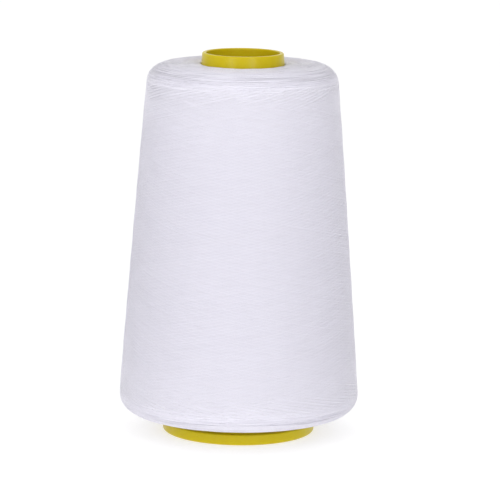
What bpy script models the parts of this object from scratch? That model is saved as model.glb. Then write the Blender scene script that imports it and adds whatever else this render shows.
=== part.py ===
"""A cone of sewing thread: a cross-wound package of thread on a moulded plastic winding cone.

Lengths are in metres. The cone stands upright: +Z runs up its axis to the narrow nose, and the
origin is the centre of the base ring's underside. Both pieces are turned shapes, so each is a
closed outline of radius against height, spun once round the axis.
"""

import math

import bmesh
import bpy

# Winding cone: a hollow tapered tube with a ring round its wide end, moulded in one.
CORE_LENGTH = 0.170
CORE_HALF_ANGLE = math.radians(4 + 20 / 60)
NOSE_RADIUS = 0.018
CORE_WALL = 0.0018
NOSE_OUTER_ROUNDING = 0.0007
NOSE_INNER_ROUNDING = 0.0005

# Base ring: the foot that the cone stands on, and the stop below the thread.
RING_RADIUS = 0.0339
RING_HEIGHT = 0.0048
RING_FOOT_ROUNDING = 0.0013
RING_TOP_ROUNDING = 0.0006
RING_ROOT_FILLET = 0.0008
BORE_MOUTH_ROUNDING = 0.0005

# Thread package: wound straight onto the cone, steeper than it, with rounded shoulders.
PACKAGE_BOTTOM = 0.0090
PACKAGE_TOP = 0.1649
PACKAGE_WIDE_RADIUS = 0.0542
PACKAGE_NARROW_RADIUS = 0.0420
WIDE_SHOULDER = 0.0083
NARROW_SHOULDER = 0.0088

# Gap that parts the thread from the cone's wall, and the fineness of the round shapes.
GAP = 0.0003
SEGMENTS = 96
SMALL_ARC_STEPS = 3
SHOULDER_STEPS = 8
SHARP_ANGLE = math.radians(40)

# Surface colours, linear, and roughness.
PLASTIC_YELLOW = (0.605, 0.510, 0.035, 1.0)
PLASTIC_ROUGHNESS = 0.35
THREAD_WHITE = (0.800, 0.785, 0.865, 1.0)
THREAD_ROUGHNESS = 0.80


def core_radius(height):
    """Outer radius of the cone's wall at a height above the base."""
    return NOSE_RADIUS + (CORE_LENGTH - height) * math.tan(CORE_HALF_ANGLE)


def rounded_outline(corners):
    """Closed outline through (radius, height, rounding, steps) corners, each turned into an arc."""
    points = []
    for i, (x, z, rounding, steps) in enumerate(corners):
        if rounding == 0:
            points.append((x, z))
            continue
        before = corners[i - 1]
        after = corners[(i + 1) % len(corners)]
        back = math.atan2(before[1] - z, before[0] - x)
        ahead = math.atan2(after[1] - z, after[0] - x)
        between = (ahead - back + math.pi) % (2 * math.pi) - math.pi
        middle = back + between / 2
        reach = rounding / math.sin(abs(between) / 2)
        centre = (x + reach * math.cos(middle), z + reach * math.sin(middle))
        sweep = math.copysign(math.pi, between) - between
        start = middle + math.pi + sweep / 2
        for step in range(steps + 1):
            angle = start - sweep * step / steps
            points.append((centre[0] + rounding * math.cos(angle), centre[1] + rounding * math.sin(angle)))
    return points


def turned(name, outline, material):
    """Solid of revolution about Z from a closed outline of (radius, height) points."""
    shape = bmesh.new()
    ring = [shape.verts.new((radius, 0.0, height)) for radius, height in outline]
    edges = [shape.edges.new((ring[i - 1], ring[i])) for i in range(len(ring))]
    bmesh.ops.spin(
        shape,
        geom=ring + edges,
        cent=(0, 0, 0),
        axis=(0, 0, 1),
        angle=2 * math.pi,
        steps=SEGMENTS,
        use_merge=True,
    )
    bmesh.ops.recalc_face_normals(shape, faces=shape.faces)
    mesh = bpy.data.meshes.new(name)
    shape.to_mesh(mesh)
    shape.free()
    mesh.shade_smooth()
    mesh.set_sharp_from_angle(angle=SHARP_ANGLE)
    mesh.materials.append(material)
    piece = bpy.data.objects.new(name, mesh)
    bpy.context.scene.collection.objects.link(piece)
    return piece


def surface(name, colour, roughness):
    """Plain dielectric material of one colour."""
    material = bpy.data.materials.new(name)
    material.use_nodes = True
    shader = material.node_tree.nodes["Principled BSDF"]
    shader.inputs["Base Color"].default_value = colour
    shader.inputs["Roughness"].default_value = roughness
    shader.inputs["Metallic"].default_value = 0.0
    return material


def make_core():
    """Tapered tube, open right through, with the base ring outside its wide end."""
    mouth = core_radius(0) - CORE_WALL
    corners = [
        (mouth, 0.0, BORE_MOUTH_ROUNDING, SMALL_ARC_STEPS),
        (RING_RADIUS, 0.0, RING_FOOT_ROUNDING, SMALL_ARC_STEPS + 1),
        (RING_RADIUS, RING_HEIGHT, RING_TOP_ROUNDING, SMALL_ARC_STEPS),
        (core_radius(RING_HEIGHT), RING_HEIGHT, RING_ROOT_FILLET, SMALL_ARC_STEPS),
        (NOSE_RADIUS, CORE_LENGTH, NOSE_OUTER_ROUNDING, SMALL_ARC_STEPS),
        (NOSE_RADIUS - CORE_WALL, CORE_LENGTH, NOSE_INNER_ROUNDING, SMALL_ARC_STEPS),
    ]
    plastic = surface("moulded_plastic", PLASTIC_YELLOW, PLASTIC_ROUGHNESS)
    return turned("core", rounded_outline(corners), plastic)


def make_thread():
    """The wound package, bored to the cone's taper, with flat ends and rounded shoulders."""
    corners = [
        (core_radius(PACKAGE_BOTTOM) + GAP, PACKAGE_BOTTOM, 0, 0),
        (PACKAGE_WIDE_RADIUS, PACKAGE_BOTTOM, WIDE_SHOULDER, SHOULDER_STEPS),
        (PACKAGE_NARROW_RADIUS, PACKAGE_TOP, NARROW_SHOULDER, SHOULDER_STEPS),
        (core_radius(PACKAGE_TOP) + GAP, PACKAGE_TOP, 0, 0),
    ]
    white = surface("wound_thread", THREAD_WHITE, THREAD_ROUGHNESS)
    return turned("thread", rounded_outline(corners), white)


for old in list(bpy.data.objects):
    bpy.data.objects.remove(old)
make_core()
make_thread()
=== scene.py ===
"""A cone of white sewing thread, as it looks.

A hollow yellow plastic winding cone carries a cross-wound package of fine polyester thread. The
body of the package is one turned surface; the thread that shows is laid over it turn by turn.
Lengths are in metres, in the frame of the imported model: +Z up the cone's axis.
"""

import math

import bpy
import numpy as np
from mathutils import Matrix, Vector


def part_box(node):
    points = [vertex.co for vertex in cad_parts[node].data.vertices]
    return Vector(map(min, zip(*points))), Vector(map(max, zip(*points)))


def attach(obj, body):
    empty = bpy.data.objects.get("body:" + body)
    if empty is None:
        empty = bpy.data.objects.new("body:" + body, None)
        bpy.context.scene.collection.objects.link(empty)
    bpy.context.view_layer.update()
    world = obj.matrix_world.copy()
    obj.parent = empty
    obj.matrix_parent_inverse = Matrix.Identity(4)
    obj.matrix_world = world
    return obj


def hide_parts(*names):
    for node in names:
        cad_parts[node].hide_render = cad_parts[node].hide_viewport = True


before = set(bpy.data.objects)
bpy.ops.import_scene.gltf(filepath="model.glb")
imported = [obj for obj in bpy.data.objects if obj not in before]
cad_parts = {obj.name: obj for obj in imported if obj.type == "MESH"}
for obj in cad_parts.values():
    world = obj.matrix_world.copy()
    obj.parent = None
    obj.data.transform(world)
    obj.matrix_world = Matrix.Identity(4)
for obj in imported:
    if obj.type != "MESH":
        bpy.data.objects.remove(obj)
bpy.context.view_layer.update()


# ---------------------------------------------------------------------------------------------
# The winding cone: one injection-moulded polypropylene part, a thin tapered tube that is open at
# both ends, with a thick ring round its wide end. The package is wound straight onto it, and its
# short nose stays bare above the thread.

core_low, core_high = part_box("core")
CONE_LENGTH = core_high.z - core_low.z
CONE_TAPER = math.tan(math.radians(4 + 20 / 60))
CONE_WALL = 0.0018
NOSE_RADIUS = 0.018
NOSE_OUTER_ROUNDING = 0.0007
NOSE_INNER_ROUNDING = 0.0005
RING_RADIUS = core_high.x
RING_HEIGHT = 0.0048
RING_FOOT_ROUNDING = 0.0013
RING_TOP_ROUNDING = 0.0006
RING_ROOT_FILLET = 0.0008
MOUTH_ROUNDING = 0.0005
CONE_COLUMNS = 240
CONE_LONGEST_SIDE = 0.012


def arc_outline(corners):
    """Closed outline through rows of (radius, height, rounding, steps), as an array of points.

    A corner is replaced by the arc that touches both of its sides: the arc's centre lies on the
    corner's bisector, rounding / sin(half angle) away, and its points sweep from side to side.
    """
    points = []
    for i, (x, z, rounding, steps) in enumerate(corners):
        if rounding == 0:
            points.append((x, z))
            continue
        before, after = corners[i - 1], corners[(i + 1) % len(corners)]
        back = math.atan2(before[1] - z, before[0] - x)
        ahead = math.atan2(after[1] - z, after[0] - x)
        between = (ahead - back + math.pi) % (2 * math.pi) - math.pi
        reach = rounding / math.sin(abs(between) / 2)
        sweep = math.copysign(math.pi, between) - between
        middle = back + between / 2
        angles = middle + math.pi + sweep * (0.5 - np.arange(steps + 1) / steps)
        points += zip(
            x + reach * math.cos(middle) + rounding * np.cos(angles),
            z + reach * math.sin(middle) + rounding * np.sin(angles),
        )
    return np.array(points)


def subdivided(outline, longest):
    """The same closed outline with its long sides cut evenly into stretches of at most longest."""
    ends = np.roll(outline, -1, axis=0)
    cuts = np.ceil(np.linalg.norm(ends - outline, axis=1) / longest).astype(int)
    cuts = np.maximum(cuts, 1)
    start = np.repeat(outline, cuts, axis=0)
    step = np.repeat((ends - outline) / cuts[:, None], cuts, axis=0)
    index = np.concatenate([np.arange(n) for n in cuts])
    return start + step * index[:, None]


def mesh_piece(name, places, faces, corner_places=None, tone_and_painted_shade=None):
    """Smooth object at the origin from points [n, 3] and quads [m, 4].

    corner_places makes its UV map, called run, and tone an attribute with a value for each point.
    """
    mesh = bpy.data.meshes.new(name)
    mesh.vertices.add(len(places))
    mesh.vertices.foreach_set("co", places.astype(np.float32).ravel())
    mesh.loops.add(faces.size)
    mesh.loops.foreach_set("vertex_index", faces.astype(np.int32).ravel())
    mesh.polygons.add(len(faces))
    mesh.polygons.foreach_set("loop_start", np.arange(0, faces.size, 4, dtype=np.int32))
    mesh.update(calc_edges=True)
    mesh.shade_smooth()
    if corner_places is not None:
        run = mesh.uv_layers.new(name="run")
        run.data.foreach_set("uv", corner_places.astype(np.float32).ravel())
    if tone_and_painted_shade is not None:
        shade = mesh.attributes.new("tone_and_painted_shade", "FLOAT", "POINT")
        shade.data.foreach_set("value", tone_and_painted_shade.astype(np.float32))
    mesh.validate()
    piece = bpy.data.objects.new(name, mesh)
    bpy.context.scene.collection.objects.link(piece)
    return piece


def closed_grid(rows, columns):
    """Quads of a grid whose last row joins its first and whose last column joins its first."""
    i, j = np.meshgrid(np.arange(rows), np.arange(columns), indexing="ij")
    up, across = (i + 1) % rows, (j + 1) % columns
    corners = (i * columns + j, i * columns + across, up * columns + across, up * columns + j)
    return np.stack(corners, axis=-1).reshape(-1, 4)


def turned_piece(name, outline, columns, swell=None):
    """Turns a closed outline of (radius, height) round Z: x = r cos t, y = r sin t, z = height.

    swell(radius, height, angle) is added to the radius, so that the shape need not be quite round.
    """
    angle = np.arange(columns) * 2 * np.pi / columns
    radius = np.repeat(outline[:, :1], columns, axis=1)
    height = np.repeat(outline[:, 1:], columns, axis=1)
    if swell is not None:
        radius = radius + swell(radius, height, angle[None, :])
    places = np.stack([radius * np.cos(angle), radius * np.sin(angle), height], axis=-1)
    faces = closed_grid(len(outline), columns)[:, ::-1]
    return mesh_piece(name, places.reshape(-1, 3), faces)


class Wire:
    """An output socket of a shader node; arithmetic on wires adds Math nodes beside it."""

    def __init__(self, socket):
        self.socket = socket
        self.tree = socket.id_data

    @staticmethod
    def node(tree, kind, settings=None, inputs=None, output=0):
        """Adds a node, gives it its settings, then its sockets' values or wires; wires its output."""
        made = tree.nodes.new(kind)
        for name, value in (settings or {}).items():
            setattr(made, name, value)
        for key, value in (inputs or {}).items():
            if isinstance(value, Wire):
                tree.links.new(value.socket, made.inputs[key])
            else:
                made.inputs[key].default_value = value
        return Wire(made.outputs[output])

    def math(self, operation, *others):
        """A Math node on this wire and up to two more values."""
        inputs = dict(enumerate((self, *others)))
        return Wire.node(self.tree, "ShaderNodeMath", {"operation": operation}, inputs)

    def swapped(self, operation, other):
        """A Math node with this wire as its second value."""
        return Wire.node(self.tree, "ShaderNodeMath", {"operation": operation}, {0: other, 1: self})

    def __add__(self, other):
        return self.math("ADD", other)

    def __radd__(self, other):
        return self.swapped("ADD", other)

    def __sub__(self, other):
        return self.math("SUBTRACT", other)

    def __rsub__(self, other):
        return self.swapped("SUBTRACT", other)

    def __mul__(self, other):
        return self.math("MULTIPLY", other)

    def __rmul__(self, other):
        return self.swapped("MULTIPLY", other)

    def __truediv__(self, other):
        return self.math("DIVIDE", other)

    def __rtruediv__(self, other):
        return self.swapped("DIVIDE", other)

    def parts(self):
        """Wires of this vector's x, y and z."""
        x = Wire.node(self.tree, "ShaderNodeSeparateXYZ", inputs={"Vector": self})
        return [Wire(socket) for socket in x.socket.node.outputs]

    def spread(self, low, high):
        """This wire's 0 to 1 spread from low to high, and held between them."""
        scaled = self.math("MULTIPLY_ADD", high - low, low)
        return scaled.math("MAXIMUM", min(low, high)).math("MINIMUM", max(low, high))

    def between(self, low, high):
        """0 where this wire is at low or under, 1 at high or over, and smooth between them."""
        settings = {"interpolation_type": "SMOOTHSTEP"}
        inputs = {"Value": self, "From Min": low, "From Max": high}
        return Wire.node(self.tree, "ShaderNodeMapRange", settings, inputs)

    def tint(self, low, high):
        """Colour that goes from low to high, each a colour or a wire, as this goes from 0 to 1."""
        # The colour sockets of a Mix node are its inputs 6 and 7 and its output 2.
        settings = {"data_type": "RGBA", "clamp_factor": True}
        return Wire.node(self.tree, "ShaderNodeMix", settings, {0: self, 6: low, 7: high}, 2)


def new_material(name):
    """Empty material with a Principled shader; returns the material, its tree and the shader."""
    material = bpy.data.materials.new(name)
    material.use_nodes = True
    return material, material.node_tree, material.node_tree.nodes["Principled BSDF"]


def object_places(tree):
    """Wire of the Object coordinates, in metres."""
    return Wire.node(tree, "ShaderNodeTexCoord", output="Object")


def noise(tree, places, scale, detail=2.0, stretch=(1.0, 1.0, 1.0)):
    """Noise from 0 to 1 on the given places, scale cells to a metre, stretched along the axes."""
    placed = Wire.node(tree, "ShaderNodeMapping", inputs={"Vector": places, "Scale": stretch})
    inputs = {"Vector": placed, "Scale": scale, "Detail": detail}
    return Wire.node(tree, "ShaderNodeTexNoise", inputs=inputs)


def connect(tree, wires, shader):
    """Feeds each named socket of the shader from its wire."""
    for name, wire in wires.items():
        tree.links.new(wire.socket, shader.inputs[name])


def bumped(tree, height, distance):
    """Normal from a height wire, whose 1 stands distance metres above its 0."""
    inputs = {"Height": height, "Distance": distance, "Strength": 1.0}
    return Wire.node(tree, "ShaderNodeBump", inputs=inputs)


PLASTIC_DEEP = (0.540, 0.420, 0.003, 1.0)
PLASTIC_FULL = (0.670, 0.555, 0.008, 1.0)
PLASTIC_RUBBED = (0.740, 0.640, 0.080, 1.0)
PLASTIC_ROUGHNESS = (0.27, 0.46)
PLASTIC_RELIEF = 0.00002
CLOUDS_PER_METRE = 45.0
FLOW_LINES_PER_METRE = 320.0
SCUFFS_PER_METRE = 900.0
SCUFF_EDGES = (0.62, 0.74)
GRAINS_PER_METRE = 2600.0
UP_THE_TAPER = (1.0, 1.0, 0.08)
ROUND_THE_TAPER = (1.0, 1.0, 5.0)


def yellow_plastic():
    """Moulded polypropylene: clouded colour, faint flow lines up the taper, fine scuffs."""
    material, tree, shader = new_material("yellow_moulded_plastic")
    places = object_places(tree)
    cloud = noise(tree, places, CLOUDS_PER_METRE, detail=3.0)
    flow = noise(tree, places, FLOW_LINES_PER_METRE, stretch=UP_THE_TAPER)
    grain = noise(tree, places, GRAINS_PER_METRE)
    scuff = noise(tree, places, SCUFFS_PER_METRE, detail=4.0, stretch=ROUND_THE_TAPER)
    scuff = scuff.between(*SCUFF_EDGES)
    colour = (cloud * 0.7 + flow * 0.3).tint(PLASTIC_DEEP, PLASTIC_FULL)
    wires = {
        "Base Color": (scuff * 0.25).tint(colour, PLASTIC_RUBBED),
        "Roughness": (cloud * 0.5 + scuff * 0.5).spread(*PLASTIC_ROUGHNESS),
        "Normal": bumped(tree, grain * 0.6 + flow * 1.2 - scuff * 0.5, PLASTIC_RELIEF),
    }
    connect(tree, wires, shader)
    shader.inputs["Specular IOR Level"].default_value = 0.22
    shader.inputs["Subsurface Weight"].default_value = 0.30
    shader.inputs["Subsurface Radius"].default_value = (1.0, 0.7, 0.15)
    shader.inputs["Subsurface Scale"].default_value = 0.003
    return material


bore_radius = NOSE_RADIUS - CONE_WALL
root_radius = NOSE_RADIUS + (CONE_LENGTH - RING_HEIGHT) * CONE_TAPER
cone_corners = [
    # radius, height, rounding, steps
    (bore_radius + CONE_LENGTH * CONE_TAPER, 0.0, MOUTH_ROUNDING, 6),
    (RING_RADIUS, 0.0, RING_FOOT_ROUNDING, 8),
    (RING_RADIUS, RING_HEIGHT, RING_TOP_ROUNDING, 6),
    (root_radius, RING_HEIGHT, RING_ROOT_FILLET, 6),
    (NOSE_RADIUS, CONE_LENGTH, NOSE_OUTER_ROUNDING, 8),
    (bore_radius, CONE_LENGTH, NOSE_INNER_ROUNDING, 6),
]
cone_outline = subdivided(arc_outline(cone_corners), CONE_LONGEST_SIDE)
cone = turned_piece("winding_cone", cone_outline, CONE_COLUMNS)
cone.data.materials.append(yellow_plastic())
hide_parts("core")
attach(cone, "root")


# ---------------------------------------------------------------------------------------------
# The body of the package: thousands of metres of thread, wound so tight that it is one firm
# white body with flat ends and rounded shoulders. Only its skin shows, and between the outermost
# winds the turns just under them, laid crosswise both ways.

thread_low, thread_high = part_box("thread")
PACKAGE_BOTTOM = thread_low.z
PACKAGE_TOP = thread_high.z
WIDE_RADIUS = 0.0542
NARROW_RADIUS = 0.0420
WIDE_SHOULDER = 0.0083
NARROW_SHOULDER = 0.0088
FIT_GAP = 0.0003
THREAD_RADIUS = 0.00014
LAYERS = 4
LAYER_RISE = 0.00004
TOP_RISE = 0.00010
BODY_DEPTH = THREAD_RADIUS + LAYERS * LAYER_RISE + TOP_RISE
BODY_COLUMNS = 192
BODY_SHOULDER_STEPS = 16
BODY_LONGEST_SIDE = 0.002
BODY_STARTS = 200
BODY_TURN_RISE = 0.067
SKIN_SWELL = 0.00005
SKIN_WAVE = 0.017
SKIN_LEAN = 2.2
SKIN_LEAN_START = 0.7
SKIN_LEAN_THRICE = 0.8
SEAT_MARGIN = 0.001


def seat_radius(height):
    """Radius of the package's hole: the cone's own radius at that height plus the fit gap."""
    return NOSE_RADIUS + (CONE_LENGTH - height) * CONE_TAPER + FIT_GAP


def package_outline(steps, sink=0.0):
    """Closed outline of the package, its outer faces sunk by a depth and its hole as it is."""
    low, high = PACKAGE_BOTTOM + sink, PACKAGE_TOP - sink
    corners = [
        (seat_radius(low), low, 0, 0),
        (WIDE_RADIUS - sink, low, WIDE_SHOULDER - sink, steps),
        (NARROW_RADIUS - sink, high, NARROW_SHOULDER - sink, steps),
        (seat_radius(high), high, 0, 0),
    ]
    return arc_outline(corners)


def skin_swell(height, angle):
    """Gentle unevenness of the wound skin: swell * sin(2 pi height / wave + lean).

    The lean is a sum of a sine of the angle and one of three times the angle, so that the waves
    run neither level nor evenly round the package.
    """
    lean = SKIN_LEAN * np.sin(angle + SKIN_LEAN_START) + SKIN_LEAN_THRICE * np.sin(3 * angle)
    return SKIN_SWELL * np.sin(2 * np.pi * height / SKIN_WAVE + lean)


def body_swell(radius, height, angle):
    """The skin's unevenness on the outer faces, and none in the hole."""
    return skin_swell(height, angle) * (radius > seat_radius(height) + SEAT_MARGIN)


# The body's dull end is its cloudy tone and also painted shade in the grooves between turns.
BODY_DULL_AND_PAINTED_GROOVE_SHADE = (0.780, 0.762, 0.840, 1.0)
BODY_WHITE = (0.900, 0.885, 0.950, 1.0)
BODY_ROUGHNESS = (0.60, 0.80)
BODY_CLOUDS_PER_METRE = 90.0


def laid_turns(places, starts, rise, way):
    """Height from 0 to 1 across turns laid round Z, starts to a turn, rising one way or the other.

    The turn's number is (angle / full turn + way * (height - radius) / rise) * starts, and the
    height over its fraction f is 1 - (2 f - 1) squared, like the back of a round thread.
    """
    x, y, z = places.parts()
    radius = (x * x + y * y).math("SQRT")
    angle = y.math("ARCTAN2", x) / (2 * math.pi)
    number = (angle + (z - radius) * (way / rise)) * starts
    across = number.math("FRACT") * 2 - 1
    return 1 - across * across


def body_thread():
    """Skin of the package's body: turns crossing as relief, painted shade in their grooves."""
    material, tree, shader = new_material("packed_thread")
    places = object_places(tree)
    left = laid_turns(places, BODY_STARTS, BODY_TURN_RISE, 1)
    right = laid_turns(places, BODY_STARTS, BODY_TURN_RISE, -1)
    turns = left.math("MAXIMUM", right)
    cloud = noise(tree, places, BODY_CLOUDS_PER_METRE, detail=3.0)
    wires = {
        # The colour follows the turns' relief: painted shade in the grooves between them.
        "Base Color": (turns * 0.75 + cloud * 0.25).tint(BODY_DULL_AND_PAINTED_GROOVE_SHADE, BODY_WHITE),
        "Roughness": cloud.spread(*BODY_ROUGHNESS),
        "Normal": bumped(tree, turns, THREAD_RADIUS),
    }
    connect(tree, wires, shader)
    return material


body_outline = subdivided(package_outline(BODY_SHOULDER_STEPS, BODY_DEPTH), BODY_LONGEST_SIDE)
body = turned_piece("package_body", body_outline, BODY_COLUMNS, body_swell)
body.data.materials.append(body_thread())
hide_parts("thread")
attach(body, "root")


# ---------------------------------------------------------------------------------------------
# The outer winds: two-ply spun polyester sewing thread, laid by the winder in long turns up and
# down the package, which cross at 23 to 29 degrees. Each layer is one unbroken thread that turns
# back at both shoulders, and the next layer is laid into the gaps between its turns.

STARTS = 50
CYCLE_TURNS = 4 + 21 / STARTS
LAYER_STEP = 1 / (STARTS * LAYERS)
SAMPLES_PER_TURN = 96
SIDES = 4
SKIN_SHOULDER_STEPS = 64

# The thread guide: how round its turning points are, how far round a shoulder each layer reaches,
# and how it wanders.
REVERSAL = 0.998
SHOULDER_REACH = 0.22
REACH_PER_LAYER = 0.06
REACH_UNEVEN = 0.03
REACH_SHARPNESS = 40
WANDER = 0.00005
WANDERS_PER_TURN = (0.031, 0.173, 0.71)

# How far the thread stands out of the skin, how deep it is bedded in it at the ends, and the
# ranges of tone of the turns underneath, darker as painted shade, and of those on top.
PROUD = 0.00015
END_DEPTH = 0.00028
END_SHARPNESS = 4
UNDER_PAINTED_SHADE_TONES = (0.0, 0.35)
TOP_TONES = (0.6, 1.0)


def package_surface():
    """The outer skin as two tables against the length along it: radius and height, and slope.

    The skin runs from the inner edge of the lower face, round the wide shoulder, up the side,
    round the narrow shoulder and in to the inner edge of the upper face. Its slope is known at
    the middle of each stretch of the outline, as the angle whose tangent is rise / run.
    """
    skin = package_outline(SKIN_SHOULDER_STEPS)
    step = np.diff(skin, axis=0)
    along = np.concatenate([[0.0], np.cumsum(np.hypot(step[:, 0], step[:, 1]))])
    slope = np.arctan2(step[:, 1], step[:, 0])
    middle = (along[1:] + along[:-1]) / 2
    return along, skin[:, 0], skin[:, 1], middle, np.unwrap(slope)


skin_along, skin_radius, skin_height, skin_middle, skin_slope = package_surface()


def on_skin(along, angle, depth):
    """Points and outward normals at a length along the skin, an angle round it, and a depth.

    A point is the skin's own point there, swollen outwards, less depth times its outward normal.
    """
    slope = np.interp(along, skin_middle, skin_slope)
    out, up = np.sin(slope), -np.cos(slope)
    height = np.interp(along, skin_along, skin_height)
    radius = np.interp(along, skin_along, skin_radius) + skin_swell(height, angle)
    radius = radius - depth * out
    height = height - depth * up
    places = np.stack([radius * np.cos(angle), radius * np.sin(angle), height], axis=-1)
    normals = np.stack([out * np.cos(angle), out * np.sin(angle), up], axis=-1)
    return places, normals


def thread_tubes(centres, normals, closed):
    """Tubes round one or more centre lines [lines, samples, 3], four-sided and smooth.

    A point of the tube is centre + radius * (cos a * normal + sin a * side), where side is the
    cross product of the line's direction and the skin's normal.
    """
    if closed:
        ahead = np.roll(centres, -1, axis=1) - np.roll(centres, 1, axis=1)
    else:
        ahead = np.gradient(centres, axis=1)
    ahead = ahead / np.linalg.norm(ahead, axis=-1, keepdims=True)
    side = np.cross(ahead, normals)
    side = side / np.linalg.norm(side, axis=-1, keepdims=True)
    turn = np.arange(SIDES) * 2 * np.pi / SIDES + np.pi / SIDES
    ring = np.cos(turn)[:, None] * normals[:, :, None, :] + np.sin(turn)[:, None] * side[:, :, None, :]
    return centres[:, :, None, :] + THREAD_RADIUS * ring


def tube_piece(name, centres, normals, tone_and_painted_shade, closed):
    """One mesh of all the tubes: a quad between neighbouring samples and sides, and capped ends.

    The UV map holds the length along the thread in metres and the share of the way round it.
    """
    lines, samples = centres.shape[:2]
    tubes = thread_tubes(centres, normals, closed)
    spans = samples if closed else samples - 1
    line, i, j = np.meshgrid(np.arange(lines), np.arange(spans), np.arange(SIDES), indexing="ij")
    ahead, across = (i + 1) % samples, (j + 1) % SIDES
    first = line * samples * SIDES
    corners = (
        first + i * SIDES + j,
        first + i * SIDES + across,
        first + ahead * SIDES + across,
        first + ahead * SIDES + j,
    )
    faces = np.stack(corners, axis=-1).reshape(-1, 4)
    step = np.linalg.norm(np.roll(centres, -1, axis=1) - centres, axis=-1)
    run = np.concatenate([np.zeros((lines, 1)), np.cumsum(step, axis=1)], axis=1)
    near, far = run[line, i], run[line, i + 1]
    places = np.stack(
        [
            np.stack([near, j / SIDES], axis=-1),
            np.stack([near, (j + 1) / SIDES], axis=-1),
            np.stack([far, (j + 1) / SIDES], axis=-1),
            np.stack([far, j / SIDES], axis=-1),
        ],
        axis=-2,
    ).reshape(-1, 2)
    if not closed:
        start = np.arange(lines)[:, None] * samples * SIDES
        sides = np.arange(SIDES)[None, :]
        caps = np.concatenate([start + sides[:, ::-1], start + (samples - 1) * SIDES + sides])
        faces = np.concatenate([faces, caps])
        places = np.concatenate([places, np.zeros((caps.size, 2))])
    shade = np.repeat(tone_and_painted_shade.reshape(-1), SIDES)
    return mesh_piece(name, tubes.reshape(-1, 3), faces, places, shade)


# The thread's dull end is random tone and also painted shade: between plies, underneath and near the
# ends.
THREAD_DULL_AND_PAINTED_SHADE = (0.800, 0.782, 0.872, 1.0)
THREAD_BRIGHT = (0.920, 0.902, 0.988, 1.0)
THREAD_ROUGHNESS = (0.22, 0.34)
THREAD_RELIEF = 0.00003
THREAD_CLOUDS_PER_METRE = 70.0
FIBRES_PER_METRE = 5000.0
TWIST_PITCH = 0.0009


def fine_thread():
    """Spun polyester: bright white, two plies twisted, each turn a shade apart from the next.

    Painted shade darkens the colour between the plies, on the turns underneath and near the ends.
    """
    material, tree, shader = new_material("white_sewing_thread")
    places = object_places(tree)
    length, round_it, _ = Wire.node(tree, "ShaderNodeUVMap", {"uv_map": "run"}).parts()
    plies = ((length / TWIST_PITCH + round_it) * (4 * math.pi)).math("SINE") * 0.5 + 0.5
    tone_and_painted_shade = Wire.node(tree, "ShaderNodeAttribute", {"attribute_name": "tone_and_painted_shade"}, output="Fac")
    cloud = noise(tree, places, THREAD_CLOUDS_PER_METRE, detail=3.0)
    fibre = noise(tree, places, FIBRES_PER_METRE)
    # The plies' twist darkens the colour between the plies as painted shade, and the tone carries
    # painted shade for the turns underneath and near the ends.
    shade = tone_and_painted_shade * 0.6 + cloud * 0.1 + plies * 0.2 + fibre * 0.1
    wires = {
        "Base Color": shade.tint(THREAD_DULL_AND_PAINTED_SHADE, THREAD_BRIGHT),
        "Roughness": (cloud * 0.2 + fibre * 0.8).spread(*THREAD_ROUGHNESS),
        "Normal": bumped(tree, plies * 0.8 + fibre * 0.4, THREAD_RELIEF),
    }
    connect(tree, wires, shader)
    shader.inputs["Sheen Weight"].default_value = 0.10
    shader.inputs["Sheen Roughness"].default_value = 0.5
    shader.inputs["Specular IOR Level"].default_value = 0.5
    return material


# Lengths along the skin at which the arcs of the two shoulders begin and end.
bottom_face = WIDE_RADIUS - seat_radius(PACKAGE_BOTTOM)
side_slope = math.atan2(PACKAGE_TOP - PACKAGE_BOTTOM, NARROW_RADIUS - WIDE_RADIUS)
wide_tangent = WIDE_SHOULDER / math.tan((math.pi - side_slope) / 2)
narrow_tangent = NARROW_SHOULDER / math.tan(side_slope / 2)
wide_arc_length = WIDE_SHOULDER * side_slope
wide_arc_from = bottom_face - wide_tangent
wide_arc_to = wide_arc_from + wide_arc_length
narrow_arc_length = NARROW_SHOULDER * (math.pi - side_slope)
top_face = NARROW_RADIUS - seat_radius(PACKAGE_TOP) - narrow_tangent
narrow_arc_to = skin_along[-1] - top_face
narrow_arc_from = narrow_arc_to - narrow_arc_length


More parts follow.
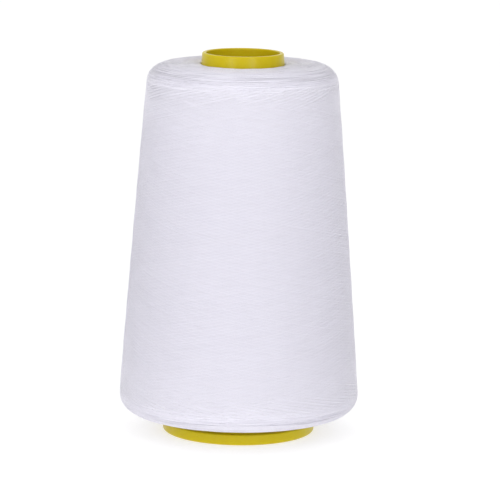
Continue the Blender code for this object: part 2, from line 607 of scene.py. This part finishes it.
def wind_path(layer, chance):
    """Angle, length along the skin, tone, share laid and nearness to an end of a layer's thread.

    The thread goes round at an even pace while its guide goes up and down. The guide's place is
    arccos(k cos phase) / pi, a zigzag whose corners are a little round, between two shoulders,
    plus a few slow sines for its wandering. Close to a corner, by a high power of the zigzag, it
    reaches further in the later layers, and at each turn a little further or less far. The
    nearness to an end is |2 zigzag - 1| to a power, and the tone fades with it, a painted shade
    towards the ends. The layers underneath take darker tones, painted shade for lying under the top.
    """
    turns = STARTS * CYCLE_TURNS
    round_it = np.arange(int(turns * SAMPLES_PER_TURN) + 1) / SAMPLES_PER_TURN
    cycle = round_it / CYCLE_TURNS
    zigzag = np.arccos(REVERSAL * np.cos(2 * np.pi * cycle)) / np.pi
    zigzag = (zigzag - zigzag.min()) / (zigzag.max() - zigzag.min())
    number = np.floor(2 * cycle).astype(int)
    low_end = wide_arc_to - wide_arc_length * SHOULDER_REACH
    high_end = narrow_arc_from + narrow_arc_length * SHOULDER_REACH
    uneven = REACH_UNEVEN * chance.uniform(-1, 1, (2, STARTS + 2))
    low_more, high_more = REACH_PER_LAYER * layer + uneven
    low_more, high_more = low_more[(number + 1) // 2], high_more[number // 2]
    stray = high_more * narrow_arc_length * zigzag**REACH_SHARPNESS
    stray -= low_more * wide_arc_length * (1 - zigzag) ** REACH_SHARPNESS
    wander = sum(
        WANDER * np.sin(2 * np.pi * round_it * rate + chance.uniform(0, 2 * np.pi))
        for rate in WANDERS_PER_TURN
    )
    along = low_end + (high_end - low_end) * zigzag + stray + wander
    angle = 2 * np.pi * (round_it + layer * LAYER_STEP)
    near_end = np.abs(2 * zigzag - 1) ** END_SHARPNESS
    # The turns underneath get darker tones as painted shade, and near the ends the colour fades to
    # dull as painted shade.
    tones = TOP_TONES if layer == LAYERS - 1 else UNDER_PAINTED_SHADE_TONES
    tone_and_painted_shade = chance.uniform(*tones, 2 * STARTS + 2)[number] * (1 - near_end)
    return angle, along, tone_and_painted_shade, round_it / turns, near_end


# Thread that is laid later lies higher, and the top layer a step more, until near the ends all
# lie at one depth.
FIRST_LAYER_SEED = 40
thread_material = fine_thread()
for layer in range(LAYERS):
    chance = np.random.default_rng(FIRST_LAYER_SEED + layer)
    angle, along, tone_and_painted_shade, share, near_end = wind_path(layer, chance)
    laid = (LAYERS - layer - share) * LAYER_RISE + TOP_RISE * (layer < LAYERS - 1)
    depth = THREAD_RADIUS - PROUD + laid + (END_DEPTH - laid) * near_end
    centres, normals = on_skin(along, angle, depth)
    winds = tube_piece(f"winds_{layer + 1}", centres[None], normals[None], tone_and_painted_shade[None], closed=False)
    winds.data.materials.append(thread_material)
    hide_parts("thread")
    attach(winds, "root")


# ---------------------------------------------------------------------------------------------
# The end turns: on the flat ends and the shoulders the thread turns back, so what shows there is
# the backs of those bends, lying side by side in rings round the axis. Each comes up out of the
# package, runs a way along its face and dips in again.

RING_PITCH = 0.00027
RING_SAMPLES = 96
RING_WANDER = 0.00010
RING_TONES = (0.3, 0.7)
BEND_DIP = 0.00016
INNER_CLEARANCE = 0.0003

# Slow waves and bends to a ring, each from the first number to one less than the second.
RING_WAVES = (1, 4)
RING_BENDS = (3, 9)

# Where the rings meet the side of the package they wander more and sink in among the winds.
FADE_LENGTH = 0.005
FADE_WANDER = 0.0005
FADE_SINK = 0.00018


def end_turns(name, start, stop, side_edge, seed):
    """Rings from one length along the skin to another, a pitch apart, waving in and out of it.

    At angle t a ring lies at its own length plus a slow wave, and at a depth of the thread's
    radius, less what it stands proud, plus dip * (1 - cos(m t + phase)) / 2, with m the number of
    bends in the ring. Its fade, from 0 to 1 as it nears side_edge, adds to the wave and the depth.
    """
    chance = np.random.default_rng(seed)
    count = int((stop - start) / RING_PITCH)
    first = (start + (np.arange(count) + 0.5) * (stop - start) / count)[:, None]
    angle = (np.arange(RING_SAMPLES) * 2 * np.pi / RING_SAMPLES)[None, :]
    bends = chance.integers(*RING_BENDS, (count, 1))
    waves = chance.integers(*RING_WAVES, (count, 1))
    phase, other = chance.uniform(0, 2 * np.pi, (2, count, 1))
    fade = np.clip(1 - np.abs(first - side_edge) / FADE_LENGTH, 0, 1)
    along = first + (RING_WANDER + FADE_WANDER * fade) * np.sin(waves * angle + other)
    dip = BEND_DIP * (1 - np.cos(bends * angle + phase)) / 2
    depth = THREAD_RADIUS - PROUD + dip + FADE_SINK * fade
    angle = np.repeat(angle, count, axis=0)
    centres, normals = on_skin(along, angle, depth)
    tone_and_painted_shade = np.repeat(chance.uniform(*RING_TONES, (count, 1)), RING_SAMPLES, axis=1)
    rings = tube_piece(name, centres, normals, tone_and_painted_shade, closed=True)
    rings.data.materials.append(thread_material)
    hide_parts("thread")
    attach(rings, "root")


inner_edge = skin_along[-1] - INNER_CLEARANCE
end_turns("end_turns_wide", INNER_CLEARANCE, wide_arc_to, side_edge=wide_arc_to, seed=61)
end_turns("end_turns_narrow", narrow_arc_from, inner_edge, side_edge=narrow_arc_from, seed=62)


# ---------------------------------------------------------------------------------------------
# The stand-in studio: a white floor, a white surround that lights less from the sides and overhead
# and more from behind, two upright strip lights a little to each side of the camera, a wide soft
# light above, and a fill from the left.

FLOOR_HALF = 6.0
FLOOR_GREY = 0.50
FLOOR_ROUGHNESS = 0.9
FLOOR_GLOW = 0.60
floor_mesh = bpy.data.meshes.new("floor")
floor_corners = [(-1, -1), (1, -1), (1, 1), (-1, 1)]
floor_places = [(x * FLOOR_HALF, y * FLOOR_HALF, 0) for x, y in floor_corners]
floor_mesh.from_pydata(floor_places, [], [(0, 1, 2, 3)])
floor = bpy.data.objects.new("floor", floor_mesh)
bpy.context.scene.collection.objects.link(floor)
material, _, shader = new_material("white_floor")
shader.inputs["Base Color"].default_value = (FLOOR_GREY, FLOOR_GREY, FLOOR_GREY, 1.0)
shader.inputs["Roughness"].default_value = FLOOR_ROUGHNESS
shader.inputs["Emission Color"].default_value = (1.0, 1.0, 1.0, 1.0)
shader.inputs["Emission Strength"].default_value = FLOOR_GLOW
floor.data.materials.append(material)

# The surround's light in a direction is a level * (1 + lift * behind - dim * sideways squared -
# dim * above squared), a little less to the right, and the camera sees it plain white.
SURROUND_LIGHT = 0.778
SIDE_DIM = 0.57
RIGHT_DIM = 0.01
ABOVE_DIM = 0.20
BEHIND_LIFT = 0.42
world = bpy.data.worlds.new("studio")
world.use_nodes = True
direction = Wire.node(world.node_tree, "ShaderNodeTexCoord", output="Generated")
sideways, behind, above = direction.parts()
above, behind = above.math("MAXIMUM", 0.0), behind.math("MAXIMUM", 0.0)
dimmed = sideways * sideways * SIDE_DIM + sideways * RIGHT_DIM + above * above * ABOVE_DIM
light = SURROUND_LIGHT * (1 + behind * BEHIND_LIFT - dimmed)
rays = Wire.node(world.node_tree, "ShaderNodeLightPath", output="Is Camera Ray")
surround = light + rays * (1 - light)
background = world.node_tree.nodes["Background"]
background.inputs["Color"].default_value = (1.0, 1.0, 1.0, 1.0)
world.node_tree.links.new(surround.socket, background.inputs["Strength"])
bpy.context.scene.world = world

AIM_HEIGHT = 0.085


def soft_light(name, azimuth, height, distance, size, power):
    """Rectangular lamp at an azimuth from the camera's side, facing the middle of the cone."""
    lamp = bpy.data.lights.new(name, "AREA")
    lamp.shape = "RECTANGLE"
    lamp.size, lamp.size_y = size
    lamp.energy = power
    turn = math.radians(azimuth)
    place = Vector((math.sin(turn) * distance, -math.cos(turn) * distance, height))
    light = bpy.data.objects.new(name, lamp)
    light.location = place
    light.rotation_mode = "QUATERNION"
    light.rotation_quaternion = (Vector((0, 0, AIM_HEIGHT)) - place).to_track_quat("-Z", "Y")
    bpy.context.scene.collection.objects.link(light)


strip = {"height": 0.42, "distance": 1.1, "size": (0.14, 0.80), "power": 2.8}
soft_light("strip_left", azimuth=-32, **strip)
soft_light("strip_right", azimuth=26, **strip)
soft_light("fill_left", azimuth=-80, height=0.7, distance=1.4, size=(1.0, 1.2), power=1.1)

CEILING_LIGHT = 0.40
CEILING_SPREAD = math.radians(80)
ceiling = bpy.data.lights.new("ceiling", "SUN")
ceiling.energy = CEILING_LIGHT
ceiling.angle = CEILING_SPREAD
ceiling_light = bpy.data.objects.new("ceiling", ceiling)
bpy.context.scene.collection.objects.link(ceiling_light)

CAMERA_DISTANCE = 1.4546
CAMERA_ELEVATION = math.radians(9.88)
CAMERA_ROLL = math.radians(0.78)
SENSOR = 36.0
LENS = 235.2
AIM_RIGHT = 0.00423
AIM_DOWN = 0.00338

camera = bpy.data.cameras.new("camera")
camera.sensor_width = SENSOR
camera.lens = LENS
camera.clip_start = 0.05
camera.clip_end = 40.0
viewpoint = bpy.data.objects.new("camera", camera)
back = Vector((0, -math.cos(CAMERA_ELEVATION), math.sin(CAMERA_ELEVATION)))
up = Vector((0, math.sin(CAMERA_ELEVATION), math.cos(CAMERA_ELEVATION)))
aim = Vector((AIM_RIGHT, 0, AIM_HEIGHT)) - up * AIM_DOWN
eye = Vector((0, 0, AIM_HEIGHT)) + back * CAMERA_DISTANCE
facing = (aim - eye).to_track_quat("-Z", "Y").to_matrix().to_4x4()
roll = Matrix.Rotation(CAMERA_ROLL, 4, "Z")
viewpoint.matrix_world = Matrix.Translation(eye) @ facing @ roll
bpy.context.scene.collection.objects.link(viewpoint)
bpy.context.scene.camera = viewpoint
bpy.context.scene.view_settings.view_transform = "Standard"
